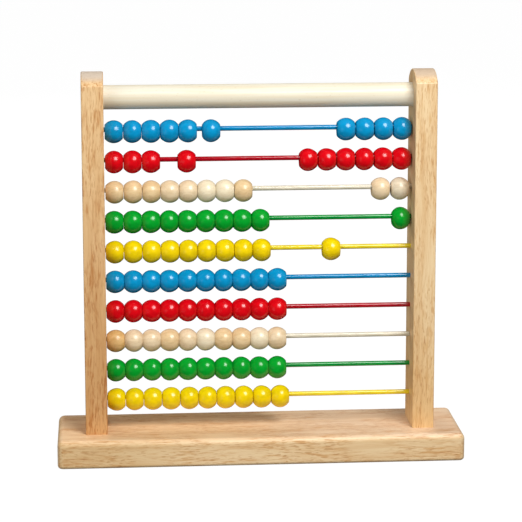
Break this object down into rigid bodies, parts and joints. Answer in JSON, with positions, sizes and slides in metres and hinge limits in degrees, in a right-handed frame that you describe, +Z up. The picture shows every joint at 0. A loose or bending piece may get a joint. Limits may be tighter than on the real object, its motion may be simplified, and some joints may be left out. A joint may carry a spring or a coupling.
{
  "type": "bead abacus",
  "caption": "Wooden counting frame: rows of coloured beads slide on thin rods between two posts that stand on a wide base board, with a dowel across the top.",
  "frame": {"origin": "middle of the base board's underside, on the surface it stands on", "axes": "+X along the rods from the left post to the right, +Y from the front to the back, +Z up"},
  "size_m": [0.305, 0.078, 0.2924],
  "materials": {
    "base_wood": "satin clear lacquer, grain along the length",
    "post_wood": "satin clear lacquer, grain upright",
    "dowel_wood": "pale smooth sanded, satin",
    "blue_bead": "glossy enamel",
    "red_bead": "glossy enamel",
    "natural_bead": "clear gloss lacquer",
    "green_bead": "glossy enamel",
    "yellow_bead": "glossy enamel",
    "blue_rod": "gloss paint",
    "red_rod": "gloss paint",
    "natural_rod": "gloss paint",
    "green_rod": "gloss paint",
    "yellow_rod": "gloss paint",
    "screw_steel": "zinc-plated"
  },
  "bodies": {
    "frame": {"base": "base_wood", "left_post": "post_wood", "right_post": "post_wood", "top_dowel": "dowel_wood", "post_screws": "screw_steel", "row_01_rod": "blue_rod", "row_02_rod": "red_rod", "row_03_rod": "natural_rod", "row_04_rod": "green_rod", "row_05_rod": "yellow_rod", "row_06_rod": "blue_rod", "row_07_rod": "red_rod", "row_08_rod": "natural_rod", "row_09_rod": "green_rod", "row_10_rod": "yellow_rod"},
    "row_01_left_beads": {"row_01_beads_1_to_2": "blue_bead", "row_01_beads_3_to_4": "blue_bead"},
    "row_01_next_bead": {"row_01_bead_5": "blue_bead"},
    "row_01_loose_bead": {"row_01_bead_6": "blue_bead"},
    "row_01_right_beads": {"row_01_beads_7_to_8": "blue_bead", "row_01_beads_9_to_10": "blue_bead"},
    "row_02_left_beads": {"row_02_beads_1_to_2": "red_bead"},
    "row_02_next_bead": {"row_02_bead_3": "red_bead"},
    "row_02_loose_bead": {"row_02_bead_4": "red_bead"},
    "row_02_right_beads": {"row_02_beads_5_to_7": "red_bead", "row_02_beads_8_to_10": "red_bead"},
    "row_05_left_beads": {"row_05_beads_1_to_3": "yellow_bead", "row_05_beads_4_to_6": "yellow_bead", "row_05_beads_7_to_8": "yellow_bead"},
    "row_05_next_bead": {"row_05_bead_9": "yellow_bead"},
    "row_05_loose_bead": {"row_05_bead_10": "yellow_bead"},
    "row_03_left_beads": {"row_03_beads_1_to_3": "natural_bead", "row_03_beads_4_to_6": "natural_bead", "row_03_beads_7_to_8": "natural_bead"},
    "row_03_right_beads": {"row_03_bead_9": "natural_bead", "row_03_bead_10": "natural_bead"},
    "row_04_left_beads": {"row_04_beads_1_to_3": "green_bead", "row_04_beads_4_to_6": "green_bead", "row_04_beads_7_to_9": "green_bead"},
    "row_04_right_bead": {"row_04_bead_10": "green_bead"},
    "row_06_bead_stack": {"row_06_beads_1_to_3": "blue_bead", "row_06_beads_4_to_6": "blue_bead", "row_06_beads_7_to_9": "blue_bead"},
    "row_06_last_bead": {"row_06_bead_10": "blue_bead"},
    "row_07_bead_stack": {"row_07_beads_1_to_3": "red_bead", "row_07_beads_4_to_6": "red_bead", "row_07_beads_7_to_9": "red_bead"},
    "row_07_last_bead": {"row_07_bead_10": "red_bead"},
    "row_08_bead_stack": {"row_08_beads_1_to_3": "natural_bead", "row_08_beads_4_to_6": "natural_bead", "row_08_beads_7_to_9": "natural_bead"},
    "row_08_last_bead": {"row_08_bead_10": "natural_bead"},
    "row_09_bead_stack": {"row_09_beads_1_to_3": "green_bead", "row_09_beads_4_to_6": "green_bead", "row_09_beads_7_to_9": "green_bead"},
    "row_09_last_bead": {"row_09_bead_10": "green_bead"},
    "row_10_bead_stack": {"row_10_beads_1_to_3": "yellow_bead", "row_10_beads_4_to_6": "yellow_bead", "row_10_beads_7_to_9": "yellow_bead"},
    "row_10_last_bead": {"row_10_bead_10": "yellow_bead"}
  },
  "joints": [
    {"name": "row_01_left_beads_slide", "type": "slide", "parent": "frame", "child": "row_01_left_beads", "axis": [1, 0, 0], "range_m": [-0.00055, 0.00385]},
    {"name": "row_01_next_bead_slide", "type": "slide", "parent": "row_01_left_beads", "child": "row_01_next_bead", "axis": [1, 0, 0], "range_m": [0, 0.00385]},
    {"name": "row_01_loose_bead_slide", "type": "slide", "parent": "frame", "child": "row_01_loose_bead", "axis": [1, 0, 0], "range_m": [-0.00385, 0.08715]},
    {"name": "row_01_right_beads_slide", "type": "slide", "parent": "frame", "child": "row_01_right_beads", "axis": [1, 0, 0], "range_m": [-0.08715, 0.00066]},
    {"name": "row_02_left_beads_slide", "type": "slide", "parent": "frame", "child": "row_02_left_beads", "axis": [1, 0, 0], "range_m": [-0.00055, 0.01295]},
    {"name": "row_02_next_bead_slide", "type": "slide", "parent": "row_02_left_beads", "child": "row_02_next_bead", "axis": [1, 0, 0], "range_m": [0, 0.01295]},
    {"name": "row_02_loose_bead_slide", "type": "slide", "parent": "frame", "child": "row_02_loose_bead", "axis": [1, 0, 0], "range_m": [-0.01295, 0.07735]},
    {"name": "row_02_right_beads_slide", "type": "slide", "parent": "frame", "child": "row_02_right_beads", "axis": [1, 0, 0], "range_m": [-0.07735, 0.00085]},
    {"name": "row_05_left_beads_slide", "type": "slide", "parent": "frame", "child": "row_05_left_beads", "axis": [1, 0, 0], "range_m": [-0.00025, 0.03895]},
    {"name": "row_05_next_bead_slide", "type": "slide", "parent": "row_05_left_beads", "child": "row_05_next_bead", "axis": [1, 0, 0], "range_m": [0, 0.03895]},
    {"name": "row_05_loose_bead_slide", "type": "slide", "parent": "frame", "child": "row_05_loose_bead", "axis": [1, 0, 0], "range_m": [-0.03895, 0.05357]},
    {"name": "row_03_left_beads_slide", "type": "slide", "parent": "frame", "child": "row_03_left_beads", "axis": [1, 0, 0], "range_m": [-0.00055, 0.08965]},
    {"name": "row_03_right_beads_slide", "type": "slide", "parent": "frame", "child": "row_03_right_beads", "axis": [1, 0, 0], "range_m": [-0.08965, 0.00201]},
    {"name": "row_04_left_beads_slide", "type": "slide", "parent": "frame", "child": "row_04_left_beads", "axis": [1, 0, 0], "range_m": [-0.00025, 0.09245]},
    {"name": "row_04_right_bead_slide", "type": "slide", "parent": "frame", "child": "row_04_right_bead", "axis": [1, 0, 0], "range_m": [-0.09245, 0.00103]},
    {"name": "row_06_bead_stack_slide", "type": "slide", "parent": "frame", "child": "row_06_bead_stack", "axis": [-1, 0, 0], "range_m": [-0.0942, 0.00025]},
    {"name": "row_06_last_bead_slide", "type": "slide", "parent": "row_06_bead_stack", "child": "row_06_last_bead", "axis": [1, 0, 0], "range_m": [0, 0.0942]},
    {"name": "row_07_bead_stack_slide", "type": "slide", "parent": "frame", "child": "row_07_bead_stack", "axis": [-1, 0, 0], "range_m": [-0.09412, 0.00015]},
    {"name": "row_07_last_bead_slide", "type": "slide", "parent": "row_07_bead_stack", "child": "row_07_last_bead", "axis": [1, 0, 0], "range_m": [0, 0.09412]},
    {"name": "row_08_bead_stack_slide", "type": "slide", "parent": "frame", "child": "row_08_bead_stack", "axis": [-1, 0, 0], "range_m": [-0.0943, 0.00015]},
    {"name": "row_08_last_bead_slide", "type": "slide", "parent": "row_08_bead_stack", "child": "row_08_last_bead", "axis": [1, 0, 0], "range_m": [0, 0.0943]},
    {"name": "row_09_bead_stack_slide", "type": "slide", "parent": "frame", "child": "row_09_bead_stack", "axis": [-1, 0, 0], "range_m": [-0.0943, 0.00015]},
    {"name": "row_09_last_bead_slide", "type": "slide", "parent": "row_09_bead_stack", "child": "row_09_last_bead", "axis": [1, 0, 0], "range_m": [0, 0.0943]},
    {"name": "row_10_bead_stack_slide", "type": "slide", "parent": "frame", "child": "row_10_bead_stack", "axis": [-1, 0, 0], "range_m": [-0.09205, 0.00015]},
    {"name": "row_10_last_bead_slide", "type": "slide", "parent": "row_10_bead_stack", "child": "row_10_last_bead", "axis": [1, 0, 0], "range_m": [0, 0.09205]}
  ]
}
